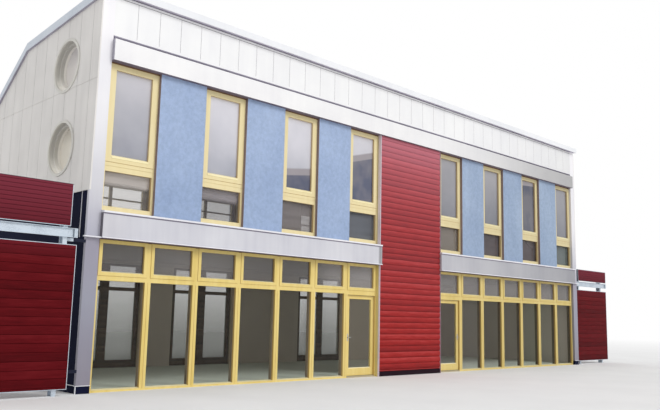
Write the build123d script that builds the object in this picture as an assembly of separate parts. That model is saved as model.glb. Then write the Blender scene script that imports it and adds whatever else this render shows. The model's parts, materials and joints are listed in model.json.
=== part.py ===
from build123d import *
import os
import math

# Apartment building, two storeys over 19.6 m of front, with shop units below
# Millimetres; X along the front, Y into the building, Z up
# X = 0 is the middle of the front, Z = 0 is the ground

# Front grid
BAY = 1200.0                 # glazing module
UNIT_BAYS = 7                # bays of glazing in each unit
CENTRE_BAY = 2800.0          # width between the two glazed units
PIER_W = 290.0               # corner pier seen from the front
UNIT_W = UNIT_BAYS * BAY
HALF_FRONT = CENTRE_BAY / 2 + UNIT_W     # middle to the end of the glazing
HALF_LENGTH = HALF_FRONT + PIER_W        # middle to the outer face of an end

# Depths, measured from the outer face of the frames
PANEL_OUT = 80.0             # blue panels, piers and attic panels stand out
RED_OUT = 120.0              # red boards stand out
BAND_OUT = 180.0             # metal bands stand out
SILL_OUT = 205.0             # sills and drips stand out
COPING_OUT = 200.0           # coping stands out
FRAME_D = 160.0              # depth of shopfront frames
WINDOW_D = 130.0             # depth of first-floor window frames
WALL_T = 220.0               # front wall behind its cladding
REAR_T = 300.0               # rear wall
DEPTH = 5800.0               # frame face to the outer face of the rear wall
SCREEN_OUT = 250.0           # face of the end screens
GUTTER_W = 150.0
GUTTER_H = 150.0
GUTTER_T = 5.0
GUTTER_DROP = 20.0           # rim below the edge of the roof
Y_SHIFT = -(DEPTH + GUTTER_W - SCREEN_OUT) / 2   # puts Y = 0 in the middle of the depth

# Ground storey, bottom to top
FLOOR_T = 40.0               # ground floor above the ground
SILL_RAIL = 45.0             # bottom rail above the ground
SHOP_GLASS_H = 2160.0        # fixed lights
TRANSOM_H = 120.0
TOPLIGHT_H = 683.0           # between transom and head
HEAD_H = 52.0
TRANSOM_Z0 = SILL_RAIL + SHOP_GLASS_H
TRANSOM_Z1 = TRANSOM_Z0 + TRANSOM_H
TOPLIGHT_Z1 = TRANSOM_Z1 + TOPLIGHT_H
SHOP_TOP = TOPLIGHT_Z1 + HEAD_H          # top of the shopfront frames

# Band between the storeys
DRIP_LAP = 15.0              # drip flashing below the top of the frames
DRIP_T = 20.0
BAND_H = 497.0
SILL_EDGE = 38.0             # front edge of the sloping sill
SILL_RISE = 28.0
FLOOR1_T = 250.0             # first-floor slab, on the heads of the frames
DRIP_Z0 = SHOP_TOP - DRIP_LAP
BAND_Z0 = DRIP_Z0 + DRIP_T
BAND_TOP = BAND_Z0 + BAND_H
DRIP_IN = 60.0               # drip across a pier, back from the sill edge
DRIP_END = 20.0              # and past the end

# First-floor windows, bottom to top
WIN_BASE_H = 153.0
LOW_LIGHT_H = 731.0
WIN_MID_H = 219.0
CASEMENT_H = 2057.0
WIN_HEAD_H = 40.0
WIN_FRAME = 55.0
WIN_SASH = 112.0             # stile of a casement
GROOVE = 8.0                 # shadow joint between two frames or panels
WIN_LOW_Z0 = BAND_TOP + WIN_BASE_H
WIN_LOW_Z1 = WIN_LOW_Z0 + LOW_LIGHT_H
CASEMENT_Z0 = WIN_LOW_Z1 + WIN_MID_H
CASEMENT_Z1 = CASEMENT_Z0 + CASEMENT_H
FASCIA_Z0 = CASEMENT_Z1 + WIN_HEAD_H

# Fascia, attic panels and coping, bottom to top
FASCIA_H = 454.0
ATTIC_GAP = 84.0             # shadow gap over the fascia
ATTIC_H = 896.0
ATTIC_PANELS = 36
ATTIC_RAIL_H = 46.0          # trim along the top of the panels
ATTIC_RAIL_OUT = 10.0
ATTIC_FOOT_H = 60.0          # the joints stop over the foot of the panels
COPING_GAP = 14.0            # panels to the lip of the coping
COPING_H = 160.0
COPING_LIP = 20.0            # thickness of the lip
COPING_LIP_H = 15.0
COPING_FALL = 20.0           # towards the roof
FASCIA_Z1 = FASCIA_Z0 + FASCIA_H
ATTIC_Z0 = FASCIA_Z1 + ATTIC_GAP
ATTIC_Z1 = ATTIC_Z0 + ATTIC_H
COPING_Z0 = ATTIC_Z1 + COPING_GAP
COPING_Z1 = COPING_Z0 + COPING_H

# Roof, heights of its upper surface
ROOF_DROP = 125.0            # roof below the top of the coping
FRONT_SLOPE = 4.71           # degrees
REAR_SLOPE = 33.6
RIDGE_Y = 3600.0             # line where the slope changes
ROOF_T = 160.0
FRONT_ROOF_Z = COPING_Z1 - ROOF_DROP
RIDGE_Z = FRONT_ROOF_Z - RIDGE_Y * math.tan(math.radians(FRONT_SLOPE))
VERGE_OUT = 50.0
VERGE_H = 190.0
VERGE_UP = 30.0

# Dark bases
PLINTH_Z = 150.0
RED_PLINTH_Z = 130.0

# Shopfront members
MULLION = 140.0
SASH = 50.0                  # stile of a top light
SASH_OUT = 10.0              # sashes stand proud of the frames
SASH_LAP = 22.0              # and lap over them all round
SASH_D = 80.0
GLASS_T = 24.0
GLASS_IN = 90.0              # fixed glass behind the frame face
SASH_GLASS_IN = 45.0         # glass behind the frame face in a sash

# Street doors
DOOR_GAP = 8.0               # clearance all round a leaf
DOOR_IN = 50.0               # leaf behind the frame face
JAMB_W = 40.0                # jamb beside the red bay
LEAF_T = 60.0
LEAF_STILE = 110.0
LEAF_BASE = 190.0            # bottom rail
LEAF_TOP_RAIL = 97.0
HEAD_Z = 2180.0              # underside of the door head
LEAF_Z0 = FLOOR_T + DOOR_GAP
LEAF_Z1 = HEAD_Z - DOOR_GAP
DOOR_D = DOOR_IN + LEAF_T    # inner face of the leaf and back of the jamb
HANDLE_UP = 1010.0           # above the floor
HANDLE_LEVER = 120.0
HANDLE_H = 20.0
HANDLE_T = 10.0
HANDLE_NECK = 34.0
PLATE_W = 42.0
PLATE_H = 190.0
PLATE_T = 6.0
PLATE_CUT = 8.0              # corners of the plate
HINGE_W = 18.0               # square knuckle
HINGE_OFF = 16.0             # axis behind the face of the leaf
HINGE_PIN_R = 5.0
HINGE_H = 50.0               # height of each knuckle
HINGE_FLAP = 38.0
HINGE_FLAP_T = 3.0
HINGE_PLAY = 0.2             # between the knuckles
HINGE_BORE_PLAY = 0.05       # radial
HINGE_INSET = 215.0          # from the bottom and top of a leaf

# Red bay
TRIM_W = 35.0
RED_W = CENTRE_BAY - 2 * TRIM_W

# End walls
GABLE_UP = 438.0             # lower edge of the pale end cladding, over the band
GABLE_Z0 = BAND_TOP + GABLE_UP
SKIN_T = 30.0                # pale cladding on the ends
SKIN_JOINT = 275.0           # first joint behind the frame face
SKIN_PANEL = 565.0
SKIN_SEAM_UP = 2330.0        # level joint over the lower edge
ROUND_Y = 1400.0             # middle of the round windows from the frame face
ROUND_UP = 1054.0            # lower window over the edge of the cladding
ROUND_RISE = 1853.0          # upper window over the lower one
ROUND_SIDES = 32             # straight sides of the openings behind a frame
RING_R = 615.0               # outside of a round frame
RING_OUT = 20.0
REVEAL_R = 555.0
REVEAL_D = 85.0
ROUND_GLASS_R = 490.0
ROUND_GLASS_IN = 215.0
ROUND_PANE_R = 560.0         # blank cut with straight sides, fixed to the back of the frame
ROUND_PANE_SIDES = 24

# Rear wall
REAR_CENTRES = (-6645.0, -3345.0, 1785.0, 6645.0)
REAR_W = 2210.0
REAR_DROP = 110.0            # heads below the top of the shopfronts
REAR_HEAD = SHOP_TOP - REAR_DROP
REAR_SILL = 250.0
REAR_RAIL_Z = 2290.0
REAR_RAIL_H = 100.0
REAR_TOP_RAIL = 60.0
REAR_STILE = 130.0
REAR_FRAME_D = 80.0
REAR_FRAME_IN = 60.0
REAR_SILL_UP = 940.0         # window sill over the slab
REAR_GLASS_H = 820.0
REAR_PANEL_H = 750.0         # yellow panel over the glass
REAR_WIN_STILE = 80.0
REAR_WIN_Z0 = SHOP_TOP + FLOOR1_T + REAR_SILL_UP
REAR_WIN_GLASS_Z1 = REAR_WIN_Z0 + REAR_WIN_STILE + REAR_GLASS_H
REAR_WIN_Z1 = REAR_WIN_GLASS_Z1 + REAR_PANEL_H

# End screens, bottom to top
SCREEN_GAP = 275.0           # from the end face to the lower boards
SCREEN_W = 2475.0
SCREEN_BACK = 310.0          # the right screen stands this far behind the left one
UPPER_INSET = 145.0
BOARD_T = 35.0
EDGE_TRIM = 12.0             # steel edge round the boards
LOW_Z0 = 130.0
LOW_H = 2705.0
BEAM_UP = 150.0              # beam over the lower boards
BEAM_H = 180.0
BEAM_D = 70.0
BEAM_OUT = 10.0
BEAM_END = 15.0
BEAM_WEB = 10.0
CLEAT_W = 70.0               # end plate of the beam
UP_GAP = 45.0
LEFT_UP_H = 802.0
RIGHT_UP_H = 430.0
LOW_Z1 = LOW_Z0 + LOW_H
BEAM_Z0 = LOW_Z1 + BEAM_UP
BEAM_Z1 = BEAM_Z0 + BEAM_H
UP_Z0 = BEAM_Z1 + UP_GAP
POST_W = 86.0
POST_D = 160.0
POST_WEB = 10.0
POST_NEAR = 175.0            # from the near end of the boards to the post
POST_FAR = 375.0             # from the far end
TIE = 60.0
TIE_LAP = 25.0               # over the edge of the rear flange
TIE_LOW = 400.0
TIE_UP = 90.0                # upper tie over the lower boards

PAST = 50.0                  # cutters run past the faces they cut

os.makedirs("parts", exist_ok=True)


def box(x0, x1, y0, y1, z0, z1):
    """Box by its limits; Y counts from the face of the frames"""
    b = Box(x1 - x0, y1 - y0, z1 - z0)
    return Pos((x0 + x1) / 2, (y0 + y1) / 2 + Y_SHIFT, (z0 + z1) / 2) * b


def save(name, shapes):
    """One STEP file for each named piece"""
    solids = [s for sh in shapes for s in sh.solids()]
    whole = solids[0] if len(solids) == 1 else Compound(children=solids)
    whole.label = name
    export_step(whole, os.path.join("parts", name + ".step"))
    return whole


def turned(shape):
    """The mirror image about the middle of the front"""
    return mirror(shape, about=Plane.YZ)


def both(*shapes):
    """Pieces and their mirror images"""
    return [s for shape in shapes for s in (shape, turned(shape))]


def prism(points, x0, x1):
    """Solid with a profile in Y and Z, run along X"""
    pts = [Vector(x0, y + Y_SHIFT, z) for y, z in points]
    face = Face(Wire.make_polygon(pts, close=True))
    return Solid.extrude(face, Vector(x1 - x0, 0, 0))


def ring(x0, x1, y0, y1, z0, z1, width):
    """Four-sided frame of one width"""
    hole = box(x0 + width, x1 - width, y0 - PAST, y1 + PAST, z0 + width, z1 - width)
    return box(x0, x1, y0, y1, z0, z1) - hole


def lapped_sash(x0, x1, z0, z1, width):
    """Sash in an opening, its proud front edge lapping over the frame round it"""
    n = SASH_LAP
    sash = ring(x0, x1, -SASH_OUT, SASH_D - SASH_OUT, z0, z1, width)
    return sash + ring(x0 - n, x1 + n, -SASH_OUT, 0, z0 - n, z1 + n, width + n)


def sash_pane(x0, x1, z0, z1, width):
    """Glass inside a sash"""
    return box(x0 + width, x1 - width, SASH_GLASS_IN, SASH_GLASS_IN + GLASS_T, z0 + width, z1 - width)


def roof_z(y):
    """Upper surface of the roof at a distance behind the frame face"""
    if y <= RIDGE_Y:
        return FRONT_ROOF_Z - y * math.tan(math.radians(FRONT_SLOPE))
    return RIDGE_Z - (y - RIDGE_Y) * math.tan(math.radians(REAR_SLOPE))


def sill_z(y):
    """Upper surface of the sloping sill, y is negative in front"""
    return BAND_TOP + SILL_EDGE + SILL_RISE * (1 + y / SILL_OUT)


# Floors
def floors():
    y1 = DEPTH - REAR_T
    half = CENTRE_BAY / 2
    ground = box(-HALF_FRONT, HALF_FRONT, FRAME_D, y1, 0, FLOOR_T)
    ground -= box(-half, half, 0, WALL_T, 0, FLOOR_T)
    for threshold in both(box(half + JAMB_W, half + BAY - MULLION / 2, 0, FRAME_D, 0, FLOOR_T)):
        ground += threshold
    save("ground_floor", [ground])
    save("first_floor", [box(-HALF_FRONT, HALF_FRONT, WALL_T, y1, SHOP_TOP, SHOP_TOP + FLOOR1_T)])


# End walls, pale cladding with its joints, and round windows
def end_profile(y0, z0):
    """Outline of an end below the roof"""
    return [(y0, z0), (DEPTH, z0), (DEPTH, roof_z(DEPTH) - ROOF_T),
            (RIDGE_Y, RIDGE_Z - ROOF_T), (y0, roof_z(y0) - ROOF_T)]


def round_levels():
    z = GABLE_Z0 + ROUND_UP
    return (z, z + ROUND_RISE)


def blank(radius, sides, x0, x1, z):
    """Many-sided plug round a circle, on the axis of a round window"""
    outline = RegularPolygon(radius, sides, major_radius=False)
    return Pos(x0, ROUND_Y + Y_SHIFT, z) * extrude(Plane.YZ * outline, x1 - x0)


def round_frame(z):
    """Frame turned from its section: outer ring, deep reveal and inner face"""
    section = [(ROUND_GLASS_R, REVEAL_D), (REVEAL_R, REVEAL_D), (REVEAL_R, -RING_OUT),
               (RING_R, -RING_OUT), (RING_R, ROUND_GLASS_IN), (ROUND_GLASS_R, ROUND_GLASS_IN)]
    pts = [Vector(HALF_LENGTH - depth, 0, r) for r, depth in section]
    turned_ring = revolve(Face(Wire.make_polygon(pts, close=True)), axis=Axis.X)
    return Pos(0, ROUND_Y + Y_SHIFT, z) * turned_ring


def end_walls():
    xo = HALF_LENGTH - SKIN_T
    wall = prism(end_profile(0.0, 0.0), HALF_FRONT, xo)
    skin = prism(end_profile(-PANEL_OUT, GABLE_Z0), xo, HALF_LENGTH)
    for k in range(int((DEPTH - SKIN_JOINT) / SKIN_PANEL) + 1):
        y = SKIN_JOINT + k * SKIN_PANEL
        skin -= box(HALF_LENGTH - GROOVE, HALF_LENGTH + PAST, y - GROOVE / 2, y + GROOVE / 2,
                    GABLE_Z0 - PAST, COPING_Z1)
    seam = GABLE_Z0 + SKIN_SEAM_UP
    skin -= box(HALF_LENGTH - GROOVE, HALF_LENGTH + PAST, -PANEL_OUT - PAST, DEPTH + PAST,
                seam - GROOVE / 2, seam + GROOVE / 2)
    frames, panes = [], []
    for z in round_levels():
        opening = blank(RING_R, ROUND_SIDES, HALF_FRONT - PAST, HALF_LENGTH + PAST, z)
        wall -= opening
        skin -= opening
        frames.append(round_frame(z))
        gx = HALF_LENGTH - ROUND_GLASS_IN
        panes.append(blank(ROUND_PANE_R, ROUND_PANE_SIDES, gx - GLASS_T, gx, z))
    save("right_end_wall", [wall])
    save("left_end_wall", [turned(wall)])
    save("gable_cladding", both(skin))
    save("round_window_frames", both(*frames))
    save("round_window_glass", both(*panes))


# Piers and plinths
def corners():
    pier = box(HALF_FRONT, HALF_LENGTH, -PANEL_OUT, 0, PLINTH_Z, COPING_Z0 + COPING_LIP_H)
    pier -= box(HALF_LENGTH - SKIN_T, HALF_LENGTH, -PANEL_OUT, 0, GABLE_Z0, COPING_Z1)
    save("corner_piers", both(pier))
    base = box(HALF_FRONT, HALF_LENGTH, -PANEL_OUT, 0, 0, PLINTH_Z)
    red = box(-RED_W / 2, RED_W / 2, -RED_OUT, 0, 0, RED_PLINTH_Z)
    save("front_plinths", both(base) + [red])


# Middle wall with its red boards
def red_bay():
    half = CENTRE_BAY / 2
    save("centre_wall", [box(-half, half, 0, WALL_T, 0, FASCIA_Z0)])
    save("red_cladding", [box(-RED_W / 2, RED_W / 2, -RED_OUT, 0, RED_PLINTH_Z, FASCIA_Z0)])
    save("cladding_trims", both(box(RED_W / 2, half, -RED_OUT, 0, 0, FASCIA_Z0)))


# Bands, sloping sills, drips and the walls between the storeys
def over_trim(shape):
    """Takes the trim of the red bay out of a piece that laps over it"""
    return shape - box(RED_W / 2 - PAST, CENTRE_BAY / 2, -RED_OUT, PAST, 0, FASCIA_Z0)


def bands():
    half = CENTRE_BAY / 2
    inner = RED_W / 2
    save("spandrel_walls", both(box(half, HALF_FRONT, 0, WALL_T, SHOP_TOP, BAND_TOP)))
    band = over_trim(box(inner, HALF_FRONT, -BAND_OUT, 0, BAND_Z0, BAND_TOP))
    save("first_floor_bands", both(band))
    section = [(-SILL_OUT, BAND_TOP), (-SILL_OUT, sill_z(-SILL_OUT)), (0, sill_z(0)), (0, BAND_TOP)]
    sill = over_trim(prism(section, inner, HALF_FRONT))
    drip = over_trim(box(inner, HALF_FRONT, -SILL_OUT, 0, DRIP_Z0, BAND_Z0))
    drip += box(HALF_FRONT, HALF_LENGTH + DRIP_END, -SILL_OUT + DRIP_IN, -PANEL_OUT, DRIP_Z0, BAND_Z0)
    save("band_flashings", both(sill, drip))


# Top of the front: fascia, attic panels with a shadow joint between each, and coping
def top_front():
    save("upper_fascia", [box(-HALF_FRONT, HALF_FRONT, -BAND_OUT, 0, FASCIA_Z0, FASCIA_Z1)])
    rail = ATTIC_Z1 - ATTIC_RAIL_H
    panels = box(-HALF_FRONT, HALF_FRONT, -PANEL_OUT, 0, ATTIC_Z0, rail)
    pitch = 2 * HALF_FRONT / ATTIC_PANELS
    for k in range(1, ATTIC_PANELS):
        x = k * pitch - HALF_FRONT
        panels -= box(x - GROOVE / 2, x + GROOVE / 2, -PANEL_OUT - PAST, GROOVE - PANEL_OUT,
                      ATTIC_Z0 + ATTIC_FOOT_H, rail)
    panels += box(-HALF_FRONT, HALF_FRONT, -PANEL_OUT - ATTIC_RAIL_OUT, 0, rail, ATTIC_Z1)
    save("attic_cladding", [panels])
    y = WALL_T
    wall = [(0, FASCIA_Z0), (y, FASCIA_Z0), (y, roof_z(y) - ROOF_T), (0, roof_z(0) - ROOF_T)]
    save("attic_wall", [prism(wall, -HALF_FRONT, HALF_FRONT)])
    z0, lip = COPING_Z0, COPING_LIP - COPING_OUT
    section = [(-COPING_OUT, z0), (lip, z0), (lip, z0 + COPING_LIP_H), (0, z0 + COPING_LIP_H),
               (0, COPING_Z1 - COPING_FALL), (-COPING_OUT, COPING_Z1)]
    end = HALF_LENGTH + VERGE_OUT
    save("coping", [prism(section, -end, end)])


# Roof slopes, verges and gutter
def roofs():
    d = ROOF_T
    top = [(0, roof_z(0)), (RIDGE_Y, RIDGE_Z), (RIDGE_Y, RIDGE_Z - d), (0, roof_z(0) - d)]
    save("upper_roof", [prism(top, -HALF_LENGTH, HALF_LENGTH)])
    y1 = DEPTH
    rear = [(RIDGE_Y, RIDGE_Z), (y1, roof_z(y1)), (y1, roof_z(y1) - d), (RIDGE_Y, RIDGE_Z - d)]
    save("rear_roof", [prism(rear, -HALF_LENGTH, HALF_LENGTH)])
    u, h = VERGE_UP, VERGE_UP - VERGE_H
    verge = [(0, roof_z(0) + u), (RIDGE_Y, RIDGE_Z + u), (y1, roof_z(y1) + u),
             (y1, roof_z(y1) + h), (RIDGE_Y, RIDGE_Z + h), (0, roof_z(0) + h)]
    save("verge_trims", both(prism(verge, HALF_LENGTH, HALF_LENGTH + VERGE_OUT)))
    z1 = roof_z(y1) - GUTTER_DROP
    z0, t = z1 - GUTTER_H, GUTTER_T
    gutter = box(-HALF_LENGTH, HALF_LENGTH, y1, y1 + GUTTER_W, z0, z1)
    gutter -= box(t - HALF_LENGTH, HALF_LENGTH - t, y1 + t, y1 + GUTTER_W - t, z0 + t, z1 + t)
    save("rear_gutter", [gutter])


# First-floor windows with proud sashes, and the blue panels between them
def upper_window(x0, x1):
    """Outer frame, fixed light below, casement above, and the two panes"""
    x2, x3 = x0 + WIN_FRAME, x1 - WIN_FRAME
    frame = box(x0, x1, 0, WINDOW_D, BAND_TOP, FASCIA_Z0)
    for z0, z1 in ((WIN_LOW_Z0, WIN_LOW_Z1), (CASEMENT_Z0, CASEMENT_Z1)):
        frame -= box(x2, x3, -PAST, WINDOW_D + PAST, z0, z1)
    joint = (WIN_LOW_Z1 + CASEMENT_Z0) / 2
    frame -= box(x0, x1, -PAST, GROOVE, joint - GROOVE / 2, joint + GROOVE / 2)
    casement = (x2, x3, CASEMENT_Z0, CASEMENT_Z1, WIN_SASH)
    low_pane = box(x2, x3, GLASS_IN, GLASS_IN + GLASS_T, WIN_LOW_Z0, WIN_LOW_Z1)
    return frame + lapped_sash(*casement), [low_pane, sash_pane(*casement)]


def upper_windows():
    frames, panels, panes = [], [], []
    section = [(-PANEL_OUT, sill_z(-PANEL_OUT)), (0, sill_z(0)), (0, BAND_TOP), (WALL_T, BAND_TOP),
               (WALL_T, FASCIA_Z0), (-PANEL_OUT, FASCIA_Z0)]
    for i in range(UNIT_BAYS):
        x0 = CENTRE_BAY / 2 + i * BAY
        if i % 2:
            panels += both(prism(section, x0, x0 + BAY))
        else:
            frame, glass = upper_window(x0, x0 + BAY)
            frames += both(frame)
            panes += both(*glass)
    save("upper_window_frames", frames)
    save("blue_panels", panels)
    save("upper_window_glass", panes)


# Shopfronts: mullions, rails, proud top lights and glass
def shopfronts():
    half = CENTRE_BAY / 2
    m = MULLION / 2
    lattice = box(half + BAY - m, HALF_FRONT, 0, FRAME_D, 0, SHOP_TOP)
    panes, sashes = [], []
    for i in range(1, UNIT_BAYS):
        x0 = half + i * BAY + m
        x1 = half + (i + 1) * BAY - m
        lattice -= box(x0, x1, -PAST, FRAME_D + PAST, SILL_RAIL, TRANSOM_Z0)
        lattice -= box(x0, x1, -PAST, FRAME_D + PAST, TRANSOM_Z1, TOPLIGHT_Z1)
        top_light = (x0, x1, TRANSOM_Z1, TOPLIGHT_Z1, SASH)
        sashes.append(lapped_sash(*top_light))
        panes += [sash_pane(*top_light), box(x0, x1, GLASS_IN, GLASS_IN + GLASS_T, SILL_RAIL, TRANSOM_Z0)]
    for sash in sashes:
        lattice += sash
    save("right_shopfront", [lattice])
    save("left_shopfront", [turned(lattice)])
    x0, x1 = half + m, half + BAY - m
    top_light = (x0, x1, TRANSOM_Z1, TOPLIGHT_Z1, SASH)
    head = box(half, x1, 0, FRAME_D, HEAD_Z, SHOP_TOP)
    head -= box(x0, x1, -PAST, FRAME_D + PAST, TRANSOM_Z1, TOPLIGHT_Z1)
    save("door_heads", both(head + lapped_sash(*top_light)))
    save("shopfront_glass", both(sash_pane(*top_light), *panes))
    jamb = box(half, half + JAMB_W, 0, DOOR_D, 0, HEAD_Z)
    for z in hinge_levels():
        jamb += hinge(half + JAMB_W, z, False)
    save("door_jambs", both(jamb))


# Hinges of the right door: square knuckles, the lower one with a pin
def hinge_levels():
    z0 = LEAF_Z0 + HINGE_INSET
    z1 = LEAF_Z1 - HINGE_INSET - 2 * HINGE_H
    return (z0, (z0 + z1) / 2, z1)


def hinge(jamb_x, z, moving):
    x = jamb_x + DOOR_GAP / 2
    y = DOOR_D + HINGE_OFF
    z0 = z + HINGE_H + HINGE_PLAY if moving else z
    z1 = z0 + HINGE_H
    side = 1 if moving else -1
    face = x + side * DOOR_GAP / 2
    end = x + side * HINGE_FLAP
    edge = x + side * HINGE_W / 2
    knuckle = box(x - HINGE_W / 2, x + HINGE_W / 2, y - HINGE_W / 2, y + HINGE_W / 2, z0, z1)
    knuckle += box(min(face, end), max(face, end), DOOR_D, DOOR_D + HINGE_FLAP_T, z0, z1)
    knuckle += box(min(face, edge), max(face, edge), DOOR_D, y, z0, z1)
    pin_h = 2 * HINGE_H + HINGE_PLAY
    pin = Pos(x, y + Y_SHIFT, z + pin_h / 2)
    if moving:
        return knuckle - pin * Cylinder(HINGE_PIN_R + HINGE_BORE_PLAY, 2 * pin_h)
    return knuckle + pin * Cylinder(HINGE_PIN_R, pin_h)


# Door leaves, glass and lever handles
def handle(x, face, way):
    """Back plate, neck and flat lever on one face of a leaf"""
    z = FLOOR_T + HANDLE_UP
    out = face + way * (PLATE_T + HANDLE_NECK)
    plate = Box(PLATE_W, PLATE_T, PLATE_H)
    plate = chamfer(plate.edges().filter_by(Axis.Y), PLATE_CUT)
    whole = Pos(x, face + way * PLATE_T / 2 + Y_SHIFT, z) * plate
    ya, yb = sorted((face + way * PLATE_T, out))
    whole += box(x - HANDLE_H / 2, x + HANDLE_H / 2, ya, yb, z - HANDLE_H / 2, z + HANDLE_H / 2)
    ya, yb = sorted((out, out + way * HANDLE_T))
    whole += box(x + HANDLE_H / 2 - HANDLE_LEVER, x + HANDLE_H / 2, ya, yb,
                 z - HANDLE_H / 2, z + HANDLE_H / 2)
    return whole


def doors():
    jamb_x = CENTRE_BAY / 2 + JAMB_W
    x0 = jamb_x + DOOR_GAP
    x1 = CENTRE_BAY / 2 + BAY - MULLION / 2 - DOOR_GAP
    y0, y1 = DOOR_IN, DOOR_D
    leaf = box(x0, x1, y0, y1, LEAF_Z0, LEAF_Z1)
    glass = (x0 + LEAF_STILE, x1 - LEAF_STILE)
    levels = (LEAF_Z0 + LEAF_BASE, LEAF_Z1 - LEAF_TOP_RAIL)
    leaf -= box(*glass, y0 - PAST, y1 + PAST, *levels)
    for z in hinge_levels():
        leaf += hinge(jamb_x, z, True)
    ym = (y0 + y1) / 2
    pane = box(*glass, ym - GLASS_T / 2, ym + GLASS_T / 2, *levels)
    hx = x1 - LEAF_STILE / 2
    handles = [handle(hx, y0, -1), handle(hx, y1, 1)]
    for side, pieces in (("right", [leaf, pane] + handles),
                         ("left", [turned(s) for s in [leaf, pane] + handles])):
        save(side + "_door_leaf", pieces[:1])
        save(side + "_door_glass", pieces[1:2])
        save(side + "_door_handles", pieces[2:])


# Rear wall, its glazed screens and windows
def rear_screen(a, b, y0, y1):
    """Pair of glazed doors with top lights, and the panes"""
    mid = (a + b) / 2
    gy = (y0 + y1) / 2
    frame = box(a, b, y0, y1, 0, REAR_HEAD)
    panes = []
    for c, d in ((a, mid), (mid, b)):
        for z0, z1 in ((REAR_SILL, REAR_RAIL_Z - REAR_RAIL_H), (REAR_RAIL_Z, REAR_HEAD - REAR_TOP_RAIL)):
            lim = (c + REAR_STILE, d - REAR_STILE)
            frame -= box(*lim, y0 - PAST, y1 + PAST, z0, z1)
            panes.append(box(*lim, gy - GLASS_T / 2, gy + GLASS_T / 2, z0, z1))
    return frame, panes


def rear_window(a, b, y0, y1):
    """Window of two lights with a solid panel above, and the panes"""
    mid, s = (a + b) / 2, REAR_WIN_STILE
    gy = (y0 + y1) / 2
    levels = (REAR_WIN_Z0 + s, REAR_WIN_GLASS_Z1)
    frame = box(a, b, y0, y1, REAR_WIN_Z0, REAR_WIN_Z1)
    panes = []
    for c, d in ((a + s, mid - s / 2), (mid + s / 2, b - s)):
        frame -= box(c, d, y0 - PAST, y1 + PAST, *levels)
        panes.append(box(c, d, gy - GLASS_T / 2, gy + GLASS_T / 2, *levels))
    return frame, panes


def rear():
    y0, y1 = DEPTH - REAR_T, DEPTH
    openings = [(c - REAR_W / 2, c + REAR_W / 2) for c in REAR_CENTRES]
    edges = [-HALF_FRONT] + [x for pair in openings for x in pair] + [HALF_FRONT]
    save("rear_wall_piers", [box(a, b, y0, y1, 0, REAR_HEAD) for a, b in zip(edges[0::2], edges[1::2])])
    section = [(y0, REAR_HEAD), (y1, REAR_HEAD), (y1, roof_z(y1) - ROOF_T), (y0, roof_z(y0) - ROOF_T)]
    wall = prism(section, -HALF_FRONT, HALF_FRONT)
    screens, screen_glass, windows, window_glass = [], [], [], []
    fy0 = y0 + REAR_FRAME_IN
    fy1 = fy0 + REAR_FRAME_D
    for a, b in openings:
        wall -= box(a, b, y0 - PAST, y1 + PAST, REAR_WIN_Z0, REAR_WIN_Z1)
        frame, panes = rear_screen(a, b, fy0, fy1)
        screens.append(frame)
        screen_glass += panes
        frame, panes = rear_window(a, b, fy0, fy1)
        windows.append(frame)
        window_glass += panes
    save("rear_wall_upper", [wall])
    save("rear_screens", screens)
    save("rear_screen_glass", screen_glass)
    save("rear_windows", windows)
    save("rear_window_glass", window_glass)


# Boarded screens beside each end, on steel posts
def post(x0, y0, top):
    """I section, flanges front and back"""
    x1, y1 = x0 + POST_W, y0 + POST_D
    mid = (x0 + x1) / 2
    w = POST_WEB
    h = [(x0, y0), (x1, y0), (x1, y0 + w), (mid + w / 2, y0 + w), (mid + w / 2, y1 - w), (x1, y1 - w),
         (x1, y1), (x0, y1), (x0, y1 - w), (mid - w / 2, y1 - w), (mid - w / 2, y0 + w), (x0, y0 + w)]
    face = Face(Wire.make_polygon([Vector(x, y + Y_SHIFT, 0) for x, y in h], close=True))
    return Solid.extrude(face, Vector(0, 0, top))


def edging(x0, x1, z0, z1, f):
    """Thin steel edge round a panel of boards with its face at y = f"""
    e = EDGE_TRIM
    return ring(x0 - e, x1 + e, f, f + BOARD_T, z0 - e, z1 + e, e)


def beam(x0, x1, front, back):
    """Channel open to the front, with a plate at each end"""
    w, z0, z1 = BEAM_WEB, BEAM_Z0, BEAM_Z1
    channel = [(front, z0), (back, z0), (back, z1), (front, z1), (front, z1 - w),
               (back - w, z1 - w), (back - w, z0 + w), (front, z0 + w)]
    whole = prism(channel, x0, x1)
    for a in (x0, x1 - CLEAT_W):
        whole += box(a, a + CLEAT_W, front, front + w, z0, z1)
    return whole


def end_screen(f, up_h, tie_x):
    """Boards and steel beside the right end: face at y = f, ties from x = tie_x"""
    x0 = HALF_LENGTH + SCREEN_GAP
    x1 = x0 + SCREEN_W
    low = (x0, x1, LOW_Z0, LOW_Z1)
    up = (x0 + UPPER_INSET, x1, UP_Z0, UP_Z0 + up_h)
    boards = [box(a, b, f, f + BOARD_T, c, d) for a, b, c, d in (low, up)]
    near, back = x0 + POST_NEAR, f + BOARD_T
    top = UP_Z0 + up_h + EDGE_TRIM
    steel = beam(x0 - BEAM_END, x1 + BEAM_END, f - BEAM_OUT, back)
    steel += post(near, back, top)
    steel += post(x1 - POST_FAR - POST_W, back, top)
    steel += edging(*low, f)
    steel += edging(*up, f)
    tie_y = back + POST_D - TIE_LAP
    for z in (TIE_LOW, LOW_Z1 + TIE_UP):
        steel += box(tie_x, near, tie_y, tie_y + TIE, z, z + TIE)
    return boards, steel


def end_screens():
    boards, steel = end_screen(SCREEN_BACK - SCREEN_OUT, RIGHT_UP_H, HALF_LENGTH - SKIN_T)
    left_boards, left_steel = end_screen(-SCREEN_OUT, LEFT_UP_H, HALF_LENGTH)
    save("screen_boards", boards + [turned(b) for b in left_boards])
    save("screen_steelwork", [steel, turned(left_steel)])


floors()
end_walls()
corners()
red_bay()
bands()
top_front()
roofs()
upper_windows()
shopfronts()
doors()
rear()
end_screens()
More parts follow.
